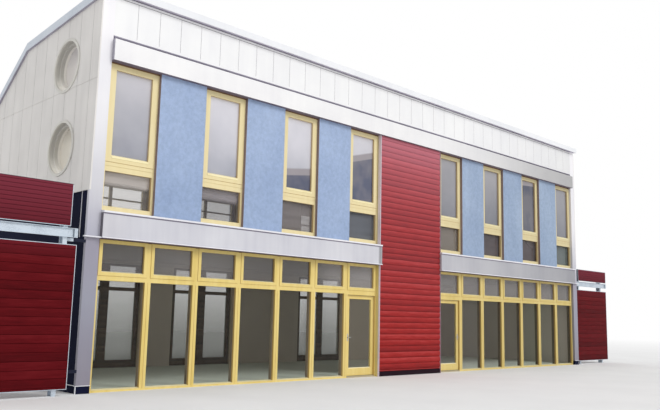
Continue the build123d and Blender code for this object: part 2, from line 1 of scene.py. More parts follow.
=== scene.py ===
import bpy
import bmesh
import json
import math
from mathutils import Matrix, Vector


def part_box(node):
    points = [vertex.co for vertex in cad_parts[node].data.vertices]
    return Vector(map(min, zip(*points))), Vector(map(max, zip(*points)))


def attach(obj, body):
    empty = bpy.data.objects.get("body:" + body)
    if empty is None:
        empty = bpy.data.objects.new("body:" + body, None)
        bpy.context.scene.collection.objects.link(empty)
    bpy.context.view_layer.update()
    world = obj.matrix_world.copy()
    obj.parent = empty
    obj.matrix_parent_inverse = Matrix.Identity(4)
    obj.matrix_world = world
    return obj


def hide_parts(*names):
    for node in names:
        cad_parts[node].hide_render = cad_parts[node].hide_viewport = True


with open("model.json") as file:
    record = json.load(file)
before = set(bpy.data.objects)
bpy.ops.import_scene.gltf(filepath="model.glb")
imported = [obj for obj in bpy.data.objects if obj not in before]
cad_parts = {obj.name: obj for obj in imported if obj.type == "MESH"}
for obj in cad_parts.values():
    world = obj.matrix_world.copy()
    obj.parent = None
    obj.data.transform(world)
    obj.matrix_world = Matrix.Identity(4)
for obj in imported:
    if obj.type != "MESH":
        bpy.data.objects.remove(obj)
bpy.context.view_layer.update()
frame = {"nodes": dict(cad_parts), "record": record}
NODES = frame["nodes"]
HOME = "building"

# Sizes in metres, as the solids have them: X along the front, Y to the rear, Z up
FACE = -2.85                 # outer face of the frames
DEPTH = 5.8                  # from there to the outer face of the rear wall
HALF_FRONT, HALF_LENGTH = 9.8, 10.09
HALF_CENTRE, BAY, BAYS = 1.4, 1.2, 7
RED_HALF = 1.365
PANEL_OUT, RED_OUT, BAND_OUT, SILL_OUT, COPING_OUT = 0.08, 0.12, 0.18, 0.205, 0.20
UPSTAIRS = 3.3               # what lies above it belongs to the upper storey
ROOM_Y = (-2.64, 2.69)       # faces between these look into the rooms

# Shopfronts and street doors
MULLION, SASH, SASH_OUT, SASH_LAP = 0.14, 0.05, 0.01, 0.022
GLASS_IN, SASH_GLASS_IN = 0.09, 0.045
SILL, TRANSOM_Z0, TRANSOM_Z1, TOPLIGHT_Z1, SHOP_TOP = 0.045, 2.205, 2.325, 3.008, 3.060
TOPLIGHT_FOOT = 2.26         # panes above it are top lights
JAMB, DOOR_GAP = 0.04, 0.008
LEAF_IN, LEAF_STILE, LEAF_GLASS_Z, LEAF_GLASS_IN = 0.05, 0.11, 0.238, 0.018

# First floor
BAND_Z0, BAND_TOP, FASCIA_Z0, FASCIA_Z1 = 3.045, 3.562, 6.762, 7.216
WIN_FRAME, WIN_SASH = 0.055, 0.112
LOW_LIGHT_Z0, CASEMENT_Z0, CASEMENT_Z1 = 3.715, 4.665, 6.722
LOW_LIGHT_TOP = 4.55         # panes above it are casements

# Attic, coping and roof
ATTIC_Z0, ATTIC_Z1, ATTIC_FOOT, ATTIC_RAIL, ATTIC_PANELS = 7.300, 8.196, 0.06, 0.046, 36
COPING_SOFFIT, COPING_LIP, COPING_PAST = 8.225, 0.021, 0.04
ROOF_LINE = ((0.0, 8.245), (3.6, 7.948), (5.8, 6.487))    # (behind FACE, height)
ROOF_T, VERGE_DROP, VERGE_W = 0.16, 0.16, 0.05
SEAM_STEPS, SEAM_HALF, SEAM_H = 36, 0.008, 0.025

# Ends
ROUND_Y, ROUND_Z, RING_R = 1.4, (5.054, 6.907), 0.615
GABLE_Z0, GABLE_JOINTS, JOINT_Y, JOINT_PITCH = 4.0, 10, 0.275, 0.565
SKIN_T = 0.03                # end cladding, on the dark wall
TIE_END = 0.258              # galvanised parts this close to an end are the ties, darkened with painted shade
SCREEN_TOP = 4.011           # and above this the dark top edge of the taller screen

# Rear windows
REAR_CENTRES = (-6.645, -3.345, 1.785, 6.645)
REAR_BAR_X, REAR_BAR_Y, REAR_BAR_Z = (0.035, 1.03), (2.715, 2.785), (4.79, 4.83)
REAR_SILL_HALF, REAR_SILL_Z = 1.13, (4.225, 4.25)
FIRST_REAR_END = -5.0        # the first rear window lies left of it

# Boards, and strips that carry a painted shade or a joint
BOARD, SMALL_BOARD = 0.162, 0.081
STRIP, SOFFIT = 0.0015, 0.005          # thickness on a face, and under an overhang
GROOVE_HALF, GROOVE_IN = 0.004, (0.002, 0.008)
JOINT_W = 0.006
BEAD_RISE, SASH_BEAD_RISE = 0.02, 0.018

# Light metal lines: heights, the place of the one down a dark end, and how far they stand out
PLINTH_LINE, DRIP_LINE, REAR_LINE = (0.146, 0.158), (3.043, 3.067), (2.95, 3.01)
END_LINE_Y, END_LINE_OUT, END_PLINTH_OUT = (0.262, 0.278), 0.01, 0.02
PIER_PLINTH_OUT, DRIP_LINE_OUT, DRIP_LINE_PAST = 0.015, 0.15, 0.07
REAR_LINE_OUT, REAR_SILL_OUT = 0.012, 0.035

# Yellow paint is brown from this far behind FACE, on frames and on door leaves, to this Y
FRAME_STAIN, LEAF_STAIN, STAIN_END = 0.061, 0.105, 2.735

# Camera, light and floor
CAMERA_AT = (-16.8879, -16.7384, 1.5697)
CAMERA_TURN = (1.72117, -0.02177, -0.7788)             # radians
LENS, SENSOR, CAMERA_REACH = 40.427, 36.0, 500.0       # mm, mm and metres
SUN_LEVEL, SUN_SPREAD, SUN_TILT, SUN_TURN = 1.3, 25, 50, 25      # the last three in degrees
WORLD_LIGHT, WORLD_SHOWN = 0.72, 1.0                   # on the object, and as it is seen
FLOOR_R, FLOOR_SIDES, FLOOR_FADE = 120.0, 64, (22.0, 60.0)

# Colours are (red, green, blue) on screen, from 0 to 255. In these tables base is the main one
# and low the darker one that mottles it
PLASTER = (208, 198, 184)

RENDERS = {
    "blue_render": dict(base=(169, 187, 217), low=(147, 166, 199), room=PLASTER, mottle=0.07),
    "beige_render": dict(base=(216, 208, 184), low=(196, 186, 162), room=PLASTER),
    "grey_render": dict(base=(150, 148, 146), low=(128, 126, 126), room=PLASTER),
    # dark navy render, darkened further with painted shade
    "dark_render": dict(base=(19, 24, 52), low=(10, 14, 34), room=PLASTER, spec=0.12),
    "concrete": dict(base=(196, 188, 184), low=(176, 168, 166), grain=60.0, strength=0.2),
    "floor_screed": dict(base=(232, 242, 228), low=(214, 226, 212), grain=30.0, strength=0.1),
    "joint": dict(base=(132, 128, 136), low=(112, 108, 118), grain=40.0, strength=0.1),
}

PAINTS = {
    "pale_metal": dict(base=(232, 229, 226), low=(216, 213, 210), rough=0.45, streak=0.45),
    "white_metal": dict(base=(243, 243, 243), low=(235, 235, 237)),
    "fascia_metal": dict(base=(244, 243, 243), low=(235, 234, 236)),
    "coping_metal": dict(base=(240, 241, 244), low=(231, 233, 237), spec=0.3),
    "band_metal": dict(base=(214, 214, 220), low=(197, 197, 206)),
    "roof_metal": dict(base=(222, 224, 226), low=(204, 207, 210)),
    "verge_metal": dict(base=(214, 222, 232), low=(198, 207, 219)),
    "flashing": dict(base=(240, 240, 244), low=(224, 224, 230), rough=0.35),
    "gold_joint": dict(base=(188, 146, 72), low=(162, 120, 54), rough=0.6, streak=0.4, spec=0.2),
    "bead": dict(base=(250, 240, 196), low=(242, 228, 174), rough=0.45, streak=0.4),
    "handle_steel": dict(base=(190, 190, 192), low=(168, 168, 172), rough=0.3, streak=0.5,
                         metal=0.8),
}

# Painted shade on undersides, sides, ends and gaps: (base, low)
SHADES = {
    "coping_soffit_shade": ((206, 200, 216), (190, 184, 202)),
    "soffit_shade_brown": ((126, 116, 130), (112, 102, 116)),
    "gap_shade": ((174, 170, 184), (158, 154, 168)),
    "fascia_end_shade": ((176, 174, 186), (160, 158, 170)),
    "panel_side_shade": ((146, 128, 128), (128, 112, 114)),
    "band_end_shade": ((120, 116, 124), (106, 102, 110)),
    "lip_shade": ((146, 140, 156), (130, 124, 140)),
    "head_shade": ((132, 98, 62), (112, 80, 50)),
}

# painted_sheen is (colour, height, stops): a painted sky reflection, a paler colour laid over the
# boards towards that height
BOARDS = {
    "brown_wood": dict(base=(70, 50, 40), low=(50, 36, 30), pale=(90, 68, 56)),
    "red_boards": dict(base=(155, 30, 29), low=(123, 18, 21), pale=(182, 64, 64),
                       painted_sheen=((214, 140, 156), 6.8, ((0.2, 0.0), (0.62, 0.08), (0.74, 0.15),
                                                    (0.86, 0.28), (0.97, 0.52)))),
    "screen_red": dict(base=(92, 13, 20), low=(72, 8, 14), pale=(114, 28, 34),
                       painted_sheen=((150, 70, 88), 4.2, ((0.6, 0.0), (1.0, 0.5))), spec=0.05, board_top_light=0.06),
}

# Tints along the front, as (x, grey or colour): painted shade, darker towards the right
# On the band also painted light at its far left end, and a painted shadow where it ends beside the
# red bay
YELLOW_TINT = ((-9.8, 1.0), (1.0, 1.0), (2.0, 0.90), (9.8, 0.83))
TINTS = {
    "blue_render": ((-9.8, 1.0), (-3.0, 1.0), (1.5, (249, 248, 243)), (9.8, (245, 244, 236))),
    "white_metal": ((-9.8, 1.0), (4.0, 1.0), (9.8, 0.88)),
    "fascia_metal": ((-9.8, 1.0), (-5.0, 1.0), (0.8, 0.96), (3.5, 0.85), (7.7, 0.54), (9.8, 0.46)),
    "band_metal": ((-9.8, (249, 247, 246)), (-9.0, 1.0), (-3.0, 1.0), (-1.50, 0.96),
                   (-1.49, 0.42), (-1.43, 0.42), (-1.42, 0.60), (1.3, 0.60), (1.32, 0.78),
                   (2.4, 0.76), (9.8, 0.50)),
    "yellow_paint": YELLOW_TINT,
    "door_paint": YELLOW_TINT,
    "bead": YELLOW_TINT,
}

# Nodes whose material isn't that of their slot
SPECIAL = {
    "upper_window_glass": "window_glass",
    "shopfront_glass": "shop_glass",
    "left_door_glass": "shop_glass",
    "right_door_glass": "shop_glass",
    "rear_screen_glass": "rear_glass",
    "rear_window_glass": "rear_glass",
    "corner_piers": "pier_metal",
    "cladding_trims": "trim_metal",
    "upper_fascia": "fascia_metal",
    "coping": "coping_metal",
    "round_window_frames": "round_frame",
    "left_door_leaf": "door_paint",
    "right_door_leaf": "door_paint",
}


def lin(r, g, b):
    """Screen colour 0 to 255 as linear light"""
    def one(c):
        c /= 255.0
        return c / 12.92 if c <= 0.04045 else ((c + 0.055) / 1.055) ** 2.4
    return (one(r), one(g), one(b), 1.0)


# Node materials
class Mat:
    """A Principled material with a few short cuts for procedural detail"""

    def __init__(self, name, rough=0.5, metal=0.0, **sockets):
        self.m = bpy.data.materials.new(name)
        self.m.use_nodes = True
        self.t = self.m.node_tree
        self.b = self.t.nodes["Principled BSDF"]
        self.b.inputs["Roughness"].default_value = rough
        self.b.inputs["Metallic"].default_value = metal
        for k, v in sockets.items():
            self.b.inputs[k.replace("_", " ")].default_value = v
        self.pos = self.add("ShaderNodeTexCoord").outputs["Object"]
        self.tone = None

    def add(self, kind, **props):
        n = self.t.nodes.new(kind)
        for k, v in props.items():
            setattr(n, k, v)
        return n

    def put(self, socket, value):
        if isinstance(value, bpy.types.NodeSocket):
            self.t.links.new(value, socket)
        else:
            socket.default_value = value

    def math(self, op, a, b=0.0, clamp=False):
        n = self.add("ShaderNodeMath", operation=op, use_clamp=clamp)
        self.put(n.inputs[0], a)
        self.put(n.inputs[1], b)
        return n.outputs[0]

    def weighted(self, *terms):
        """Sum of values, each given with its weight"""
        total, *rest = [self.math("MULTIPLY", value, weight) for value, weight in terms]
        for term in rest:
            total = self.math("ADD", total, term)
        return total

    def axis(self, i):
        n = self.add("ShaderNodeSeparateXYZ")
        self.put(n.inputs[0], self.pos)
        return n.outputs[i]

    def between(self, v, a, b):
        """1 between two values, 0 outside"""
        return self.math("MULTIPLY", self.math("GREATER_THAN", v, a), self.math("LESS_THAN", v, b))

    def above(self, z):
        """1 above a height"""
        return self.math("GREATER_THAN", self.axis(2), z)

    def right_of(self, x):
        """1 to the right of a place on the front"""
        return self.math("GREATER_THAN", self.axis(0), x)

    def near_middle(self, half):
        """1 within a distance of the middle of the front"""
        return self.math("LESS_THAN", self.math("ABSOLUTE", self.axis(0)), half)

    def indoors(self):
        """1 on faces that look into the rooms"""
        return self.math("MULTIPLY", self.near_middle(HALF_FRONT + 0.05),
                         self.between(self.axis(1), *ROOM_Y))

    def stretch(self, sx, sy, sz):
        n = self.add("ShaderNodeMapping")
        self.put(n.inputs["Vector"], self.pos)
        n.inputs["Scale"].default_value = (sx, sy, sz)
        return n.outputs[0]

    def noise(self, scale, detail=3.0, vector=None, rough=0.55):
        n = self.add("ShaderNodeTexNoise")
        self.put(n.inputs["Vector"], vector or self.pos)
        n.inputs["Scale"].default_value = scale
        n.inputs["Detail"].default_value = detail
        n.inputs["Roughness"].default_value = rough
        return n.outputs[0]

    def ramp(self, fac, *stops):
        """Stops are (place, colour or grey)"""
        n = self.add("ShaderNodeValToRGB")
        self.put(n.inputs[0], fac)
        e = n.color_ramp.elements
        while len(e) < len(stops):
            e.new(0.5)
        for el, (at, col) in zip(e, stops):
            el.position = at
            el.color = col if isinstance(col, tuple) else (col, col, col, 1)
        return n.outputs[0]

    def remap(self, v, a, b, c=0.0, d=1.0):
        n = self.add("ShaderNodeMapRange")
        self.put(n.inputs[0], v)
        for i, x in enumerate((a, b, c, d), 1):
            n.inputs[i].default_value = x
        return n.outputs[0]

    def mix(self, fac, a, b, kind="MIX"):
        """Blend of two colours; sockets 6, 7 and 2 are the node's colour ones"""
        n = self.add("ShaderNodeMix", data_type="RGBA", blend_type=kind)
        self.put(n.inputs[0], fac)
        self.put(n.inputs[6], a)
        self.put(n.inputs[7], b)
        return n.outputs[2]

    def times(self, a, b):
        """Product of two colours"""
        return self.mix(1.0, a, b, "MULTIPLY")

    def color(self, value):
        self.tone = value
        self.put(self.b.inputs["Base Color"], value)
        return self

    def over(self, fac, value):
        """Lays a colour over the one so far"""
        return self.color(self.mix(fac, self.tone, value))

    def tint(self, value):
        """Multiplies the colour so far"""
        return self.color(self.times(self.tone, value))

    def bump(self, height, strength, distance):
        n = self.add("ShaderNodeBump")
        n.inputs["Strength"].default_value = strength
        n.inputs["Distance"].default_value = distance
        self.put(n.inputs["Height"], height)
        self.put(self.b.inputs["Normal"], n.outputs[0])
        return self

    def roughness(self, fac, a, b):
        self.put(self.b.inputs["Roughness"], self.remap(fac, 0.3, 0.7, a, b))
        return self


def painted(name, base, low, rough=0.4, streak=0.35, metal=0.0, spec=0.5):
    """Painted sheet: faint upright streaks and slow cloudiness"""
    m = Mat(name, rough, metal, Specular_IOR_Level=spec)
    streaks = m.noise(6.0, 4.0, m.stretch(1.0, 1.0, 0.06))
    fac = m.weighted((streaks, streak), (m.noise(0.9, 2.0), 1 - streak))
    m.color(m.ramp(fac, (0.32, lin(*low)), (0.62, lin(*base))))
    m.roughness(streaks, rough - 0.06, rough + 0.08)
    return m.bump(m.noise(1.5, 2.0), 0.05, 0.01)


def rendered(name, base, low, grain=110.0, strength=0.5, room=None, mottle=0.0, spec=0.3):
    """Rough render: fine grains, slow cloudiness, blotches; plaster where it faces a room"""
    m = Mat(name, 0.9, Specular_IOR_Level=spec)
    grains = m.noise(grain, 4.0, rough=0.7)
    wash = m.noise(3.0, 3.0, m.stretch(1.0, 1.0, 0.1))
    slow = m.weighted((m.noise(0.8, 4.0), 0.75), (wash, 0.25))
    fac = m.weighted((grains, 0.5), (slow, 0.5))
    m.color(m.ramp(fac, (0.36, lin(*low)), (0.62, lin(*base))))
    if mottle:
        m.tint(m.remap(m.noise(10.0, 3.0, rough=0.7), 0.35, 0.65, 1 - mottle, 1 + mottle))
    if room:
        m.over(m.indoors(), m.mix(slow, lin(*room), lin(*[c * 0.86 for c in room])))
    return m.bump(grains, strength, 0.006)


def boarded(name, base, low, pale, painted_sheen=None, spec=0.18, board_top_light=0.22):
    """Stained boards: each one a little different, streaked lengthwise, with painted light along
    its top, and a painted sheen laid over them if given
    """
    m = Mat(name, 0.6, Specular_IOR_Level=spec)
    row = m.math("DIVIDE", m.axis(2), BOARD)
    n = m.add("ShaderNodeTexWhiteNoise", noise_dimensions="1D")
    m.put(n.inputs["W"], m.math("FLOOR", row))
    grain = m.noise(9.0, 6.0, m.stretch(0.25, 1.0, 5.0))
    patch = m.noise(3.0, 3.0, m.stretch(0.8, 1.0, 5.0))
    # painted light and shade: each board lighter towards its top
    fac = m.weighted((n.outputs[0], 0.18), (grain, 0.32), (patch, 0.28),
                     (m.math("FRACT", row), board_top_light))
    fac = m.math("ADD", fac, (0.22 - board_top_light) / 2)
    m.color(m.ramp(fac, (0.34, lin(*low)), (0.54, lin(*base)), (0.76, lin(*pale))))
    # a paler painted sky reflection laid over the boards towards a height
    if painted_sheen:
        tone, top, stops = painted_sheen
        m.over(m.ramp(m.math("DIVIDE", m.axis(2), top), *stops), lin(*tone))
    m.roughness(grain, 0.5, 0.66)
    return m.bump(grain, 0.25, 0.003)


def glazed(name, tone, cover, rough=0.04):
    """Pane veiled by a painted reflection of what it mirrors; tone, and cover unless a number, are
    made by functions
    """
    m = Mat(name, rough, IOR=1.5, Specular_IOR_Level=0.5)
    ripple = m.noise(0.8, 2.0)
    m.color(m.times(tone(m), m.ramp(ripple, (0.3, 0.93), (0.7, 1.0))))
    m.put(m.b.inputs["Alpha"], cover(m) if callable(cover) else cover)
    return m.bump(ripple, 0.02, 0.02)


def across(m, *stops):
    """Colour or grey that changes along the front; stops are (x, colour or grey)"""
    fac = m.remap(m.axis(0), -HALF_FRONT, HALF_FRONT)
    return m.ramp(fac, *[((x + HALF_FRONT) / (2 * HALF_FRONT),
                          lin(*c) if isinstance(c, tuple) else c) for x, c in stops])


def rising(m, *stops):
    """Colour that changes with height; stops are (z, colour)"""
    top = stops[-1][0]
    return m.ramp(m.math("DIVIDE", m.axis(2), top, True), *[(z / top, lin(*c)) for z, c in stops])


def casement_tone(m):
    """Painted reflection: pale sky, dimmer towards the foot and the right, with a dull lower part,
    the far houses, under a pale line
    """
    cloud = m.noise(0.9, 3.0)
    rise = m.math("ADD", m.remap(m.axis(2), 4.75, 6.7), m.remap(cloud, 0.3, 0.7, -0.15, 0.15), True)
    upper = m.ramp(rise, (0.0, lin(174, 176, 188)), (0.4, lin(202, 202, 211)),
                   (1.0, lin(232, 230, 237)))
    upper = m.times(upper, across(
        m, (-9.8, 0.80), (-8.6, 0.83), (-7.4, 1.0), (-3.9, 1.0), (-1.6, 0.9), (1.2, 0.50),
        (6.0, 0.46), (6.4, 0.30), (7.2, 0.30), (7.8, 0.46), (9.8, 0.46)))
    lower = m.mix(m.remap(cloud, 0.4, 0.6), lin(88, 93, 116), lin(126, 124, 134))
    lower = m.times(lower, across(m, (-9.8, 1.0), (5.9, 1.0), (6.1, 0.7), (9.8, 0.7)))
    # Height of the painted skyline over the ground, in tens of metres
    line = across(
        m, (-9.8, 0.40), (-6.9, 0.45), (-6.3, 0.49), (-4.9, 0.528), (-3.9, 0.542), (-2.5, 0.60),
        (-1.5, 0.627), (0.0, 0.44), (6.0, 0.44), (6.2, 0.66), (7.5, 0.67), (7.7, 0.44),
        (9.8, 0.44))
    below = m.math("SUBTRACT", line, m.math("DIVIDE", m.axis(2), 10.0))
    edge = m.mix(cloud, lin(150, 144, 150), lin(172, 166, 170))
    lower = m.mix(m.remap(below, 0.018, 0.021), edge, lower)
    return m.mix(m.remap(below, 0.0, 0.004), upper, lower)


def low_light_tone(m):
    """Painted reflection in the low lights of the first floor, in dull layers"""
    tint = across(
        m, (-8.7, (240, 232, 226)), (-8.0, (175, 169, 173)), (-5.6, (175, 169, 173)),
        (-5.0, (164, 157, 157)), (-3.9, (164, 157, 157)), (-2.6, (134, 139, 149)),
        (-1.4, (134, 139, 149)), (1.4, (172, 163, 154)), (2.6, (172, 163, 154)),
        (3.9, (119, 110, 113)), (7.4, (122, 113, 115)), (9.2, (137, 149, 149)))
    layers = m.noise(4.0, 2.0, m.stretch(0.15, 0.15, 2.0))
    return m.times(tint, m.ramp(layers, (0.35, 0.84), (0.6, 1.04)))


def window_tone(m):
    return m.mix(m.above(LOW_LIGHT_TOP), low_light_tone(m), casement_tone(m))


def window_cover(m):
    """Low lights at the left are clear in their lower part; the casements are nearly closed"""
    right = m.remap(m.axis(0), -5.8, -5.6)
    left = m.math("MULTIPLY", m.math("SUBTRACT", 1.0, right),
                  m.remap(m.axis(2), 4.14, 4.24, 0.10, 0.48))
    low = m.math("ADD", left, m.math("MULTIPLY", right, 0.36))
    casements = m.remap(m.axis(2), LOW_LIGHT_TOP - 0.01, LOW_LIGHT_TOP + 0.01, 0.0, 0.93)
    return m.math("MAXIMUM", low, casements)


def shop_tone(m):
    """Painted reflection: dull in the shop panes and paler beside the left door; behind the top
    lights painted ceilings, dimmed with painted shade
    """
    low = across(
        m, (-2.8, (92, 90, 82)), (-2.6, (164, 156, 142)), (-1.4, (164, 156, 142)),
        (1.4, (127, 120, 116)), (2.5, (127, 120, 116)), (2.7, (158, 156, 150)),
        (3.7, (158, 156, 150)), (3.9, (116, 114, 106)), (6.2, (116, 114, 106)),
        (6.8, (104, 118, 100)), (9.8, (116, 114, 106)))
    side = across(
        m, (-9.2, 0.38), (-8.0, 0.54), (-6.8, 0.59), (-6.2, 0.45), (-5.6, 0.40), (-4.4, 0.40),
        (-3.8, 0.42), (-3.2, 0.79), (-2.6, 0.95), (-2.0, 1.0), (-1.4, 1.0), (1.4, 0.78),
        (9.8, 0.74))
    ceiling = m.mix(m.noise(1.2, 3.0), lin(170, 168, 170), lin(190, 184, 182))
    return m.mix(m.above(TOPLIGHT_FOOT), low, m.times(ceiling, side))


def shop_cover(m):
    return m.remap(m.axis(2), TOPLIGHT_FOOT - 0.01, TOPLIGHT_FOOT + 0.01, 0.10, 0.34)


def inner_windows(m):
    """1 on the panes of the upper rear windows, apart from the first one at the left"""
    return m.math("MULTIPLY", m.above(UPSTAIRS + 0.1), m.right_of(FIRST_REAR_END))


def rear_tone(m):
    """Slightly green, duller upstairs in the middle"""
    return m.mix(inner_windows(m), lin(150, 160, 146), lin(138, 155, 150))


def rear_cover(m):
    """Denser low down, and upstairs in the middle"""
    z = m.math("DIVIDE", m.axis(2), 5.0)
    low = m.ramp(z, (0.0, 0.58), (0.18, 0.57), (0.32, 0.46), (0.44, 0.36), (0.6, 0.32),
                 (0.8, 0.25))
    return m.math("MAXIMUM", low, m.math("MULTIPLY", inner_windows(m), 0.41))


def pale_tone(m):
    """Painted reflection of a pale sky, with painted shade towards the top of each round pane"""
    return rising(m, (4.6, (248, 242, 230)), (5.2, (246, 240, 227)), (5.5, (214, 208, 197)),
                  (6.1, (244, 239, 235)), (6.95, (242, 237, 234)), (7.15, (226, 221, 220)),
                  (7.45, (198, 194, 197)))


def round_frame():
    """Pale rim; on the reveal painted shade above, and painted light below and next to the pane"""
    m = painted("round_frame", (222, 220, 212), (206, 204, 198), 0.45, 0.45)
    x = m.math("ABSOLUTE", m.axis(0))
    deep = m.math("LESS_THAN", x, HALF_LENGTH - 0.012)
    centre = m.remap(m.axis(2), 5.97, 5.99, *ROUND_Z)      # of the lower or of the upper window
    up = m.math("SUBTRACT", m.axis(2), centre)
    m.over(m.math("MULTIPLY", deep, m.remap(up, -0.2, 0.1, 0.14, 0.34)), lin(128, 122, 118))
    foot = m.remap(up, -0.4, -0.12, 1.0, 0.0)
    pane = m.remap(x, HALF_LENGTH - 0.17, HALF_LENGTH - 0.15, 0.9, 0.0)
    light = m.math("MAXIMUM", foot, pane)
    return m.over(m.math("MULTIPLY", deep, light), lin(250, 247, 240))


def pier_metal():
    """White metal under a painted reflection: white at the top, greyer downwards, lilac grey below
    the drip
    """
    m = painted("pier_metal", (250, 248, 250), (240, 238, 242))
    return m.tint(rising(m, (0.0, (142, 138, 148)), (1.8, (155, 157, 170)),
                         (3.04, (160, 157, 170)), (3.07, (186, 187, 199)), (4.0, (212, 213, 217)),
                         (5.2, (238, 239, 241)), (8.3, (255, 255, 255))))


def trim_metal():
    """Pale lilac in front and on the outer part of the sides; olive beside the frames, painted
    shade with a painted reflection of the yellow frames; darker on the front at the right
    """
    m = painted("trim_metal", (226, 208, 138), (206, 190, 124), 0.5, 0.3, spec=0.3)
    edge = m.remap(m.axis(2), UPSTAIRS - 0.01, UPSTAIRS + 0.01, FACE - 0.08, FACE - 0.025)
    outer = m.math("LESS_THAN", m.axis(1), edge)
    m.over(m.math("MULTIPLY", m.above(UPSTAIRS), 0.4), lin(150, 140, 100))
    m.over(outer, m.mix(m.noise(2.0), lin(218, 206, 216), lin(230, 220, 228)))
    front = m.math("LESS_THAN", m.axis(1), FACE - RED_OUT + 0.001)
    m.over(front, m.mix(m.noise(2.0), lin(184, 168, 178), lin(200, 186, 196)))
    return m.over(m.math("MULTIPLY", front, m.right_of(0.0)), lin(128, 100, 114))


def yellow(name, stain, rebate):
    """Yellow outside, paler upstairs, painted shade in orange in the rebates, and a dull brown
    stain behind the glass, with painted light making it lighter on the left unit
    """
    stain_from = FACE + stain
    m = painted(name, (232, 208, 128), (220, 192, 102), 0.45, 0.5)
    grain = m.noise(12.0, 4.0, m.stretch(1.0, 1.0, 0.1))
    m.over(m.remap(grain, 0.3, 0.7, 0.0, 0.35), lin(240, 222, 154))
    m.over(m.above(UPSTAIRS), m.mix(grain, lin(228, 210, 156), lin(238, 224, 178)))
    m.over(m.math("MULTIPLY", m.between(m.axis(1), FACE + 0.012, stain_from), rebate),
           lin(186, 136, 70))
    right = m.mix(grain, lin(96, 86, 72), lin(120, 108, 90))
    left = m.mix(grain, lin(142, 130, 112), lin(164, 152, 132))
    brown = m.mix(m.math("LESS_THAN", m.axis(0), 0.0), right, left)
    return m.over(m.between(m.axis(1), stain_from, STAIN_END), brown)


def galvanised():
    """Zinc spangle; painted shade darkens the ties beside the wall; a dark top edge on the taller
    screen
    """
    m = Mat("galvanised", 0.42, 0.6)
    v = m.add("ShaderNodeTexVoronoi")
    m.put(v.inputs["Vector"], m.pos)
    v.inputs["Scale"].default_value = 45.0
    fac = m.math("ADD", m.math("MULTIPLY", v.outputs["Distance"], 0.5), m.noise(2.0))
    m.color(m.ramp(fac, (0.3, lin(158, 169, 182)), (0.8, lin(198, 208, 218))))
    m.over(m.near_middle(HALF_LENGTH + TIE_END), lin(22, 26, 48))
    m.over(m.above(SCREEN_TOP), lin(70, 44, 56))
    return m.bump(fac, 0.05, 0.002)


def make_materials():
    """Every material, by its name"""
    M = {name: rendered(name, **look) for name, look in RENDERS.items()}
    M.update({name: painted(name, **look) for name, look in PAINTS.items()})
    M.update({name: painted(name, *look, 0.6, spec=0.2) for name, look in SHADES.items()})
    M.update({name: boarded(name, **look) for name, look in BOARDS.items()})
    M["groove"] = painted("groove", (74, 70, 68), (60, 56, 56), 0.7, spec=0.2)
    M["yellow_paint"] = yellow("yellow_paint", FRAME_STAIN, 0.55)
    M["door_paint"] = yellow("door_paint", LEAF_STAIN, 0.0)
    M["pier_metal"] = pier_metal()
    M["trim_metal"] = trim_metal()
    M["round_frame"] = round_frame()
    M["galvanised"] = galvanised()
    M["shop_glass"] = glazed("shop_glass", shop_tone, shop_cover)
    M["window_glass"] = glazed("window_glass", window_tone, window_cover)
    M["rear_glass"] = glazed("rear_glass", rear_tone, rear_cover)
    M["pale_glass"] = glazed("pale_glass", pale_tone, 0.95, rough=0.15)

    blue = M["blue_render"]
    blue.tint(rising(blue, (3.5, (243, 245, 247)), (5.2, (255, 255, 255))))
    for name, stops in TINTS.items():
        M[name].tint(across(M[name], *stops))
    # Plinth of the red bay, and the edge of the floor under the frames
    dark, screed = M["dark_render"], M["floor_screed"]
    dark.over(dark.near_middle(HALF_CENTRE + 0.1), lin(36, 18, 28))
    screed.over(screed.math("LESS_THAN", screed.axis(1), FACE + 0.1), lin(176, 164, 136))
    return M


# Mesh pieces
def piece(name, parts, mat, body=HOME, replaces=()):
    """One object from a list of (vertices, faces)"""
    verts, faces = [], []
    for v, f in parts:
        k = len(verts)
        verts += v
        faces += [tuple(i + k for i in g) for g in f]
    me = bpy.data.meshes.new(name)
    me.from_pydata(verts, [], faces)
    bm = bmesh.new()
    bm.from_mesh(me)
    bmesh.ops.recalc_face_normals(bm, faces=bm.faces)
    bm.to_mesh(me)
    bm.free()
    me.validate()
    o = bpy.data.objects.new(name, me)
    bpy.context.scene.collection.objects.link(o)
    me.materials.append(mat.m)
    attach(o, body)
    if replaces:
        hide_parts(*replaces)


def run_x(section, x0, x1):
    """Closed section in Y and Z, run along X"""
    n = len(section)
    verts = [(x, y, z) for x in (x0, x1) for y, z in section]
    faces = [(i, (i + 1) % n, n + (i + 1) % n, n + i) for i in range(n)]
    faces += [tuple(range(n))[::-1], tuple(range(n, 2 * n))]
    return verts, faces


def bar(x0, x1, y0, y1, z0, z1):
    return run_x([(y0, z0), (y1, z0), (y1, z1), (y0, z1)], min(x0, x1), max(x0, x1))


def slope_bar(x0, x1, a, b, drop, t):
    """Flat strip under a sloping line from a to b, each (y, z)"""
    (ya, za), (yb, zb) = a, b
    return run_x([(ya, za - drop - t), (yb, zb - drop - t), (yb, zb - drop), (ya, za - drop)],
                 x0, x1)


def board_section(y, z0, z1, thick, bow):
    """Board with a bowed face and a shadow gap under it"""
    gap, h = 0.007, z1 - z0
    return [(y + thick, z0 + gap), (y + bow, z0 + gap), (y + bow / 4, z0 + gap + 0.15 * h),
            (y, z0 + 0.45 * h), (y + bow / 4, z0 + 0.72 * h), (y + bow, z1), (y + thick, z1)]


